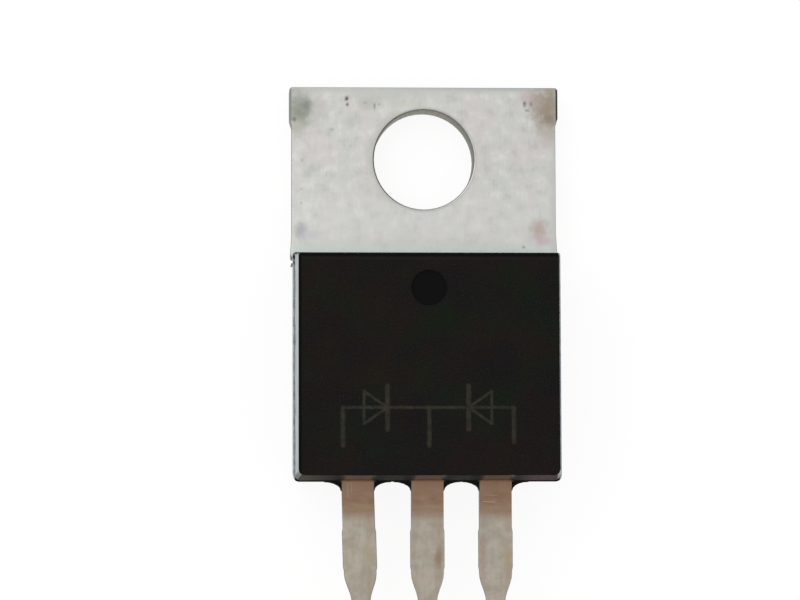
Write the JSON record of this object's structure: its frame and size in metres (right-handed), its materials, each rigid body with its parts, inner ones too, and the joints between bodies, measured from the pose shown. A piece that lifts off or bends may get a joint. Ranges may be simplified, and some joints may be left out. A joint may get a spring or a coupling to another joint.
{
  "type": "schottky diode",
  "caption": "Power rectifier with leads, a black moulding and a drilled metal tab, holding Schottky diodes that share a cathode on the tab and the middle lead.",
  "frame": {"origin": "on the back plane, under the middle of the whole part's outline", "axes": "the part lies on its back: +Z out of the moulding's marked front, +Y towards the tab, -Y along the leads"},
  "size_m": [0.0102, 0.0286, 0.0045],
  "materials": {
    "tinned_copper": "satin tin plating over stamped copper, copper colour showing by the moulding",
    "epoxy_moulding": "black moulding compound, fine matt front and smoother drafted sides",
    "silicon": "sawn silicon with a metal top pad",
    "solder_alloy": "reflowed solder",
    "aluminium_wire": "drawn aluminium wire"
  },
  "bodies": {
    "root": {"tab_lead_frame": "tinned_copper", "anode_lead_1": "tinned_copper", "anode_lead_2": "tinned_copper", "die_solder_1": "solder_alloy", "die_solder_2": "solder_alloy", "schottky_die_1": "silicon", "schottky_die_2": "silicon", "bond_wire_1a": "aluminium_wire", "bond_wire_1b": "aluminium_wire", "bond_wire_2a": "aluminium_wire", "bond_wire_2b": "aluminium_wire", "moulded_body": "epoxy_moulding"}
  },
  "joints": []
}
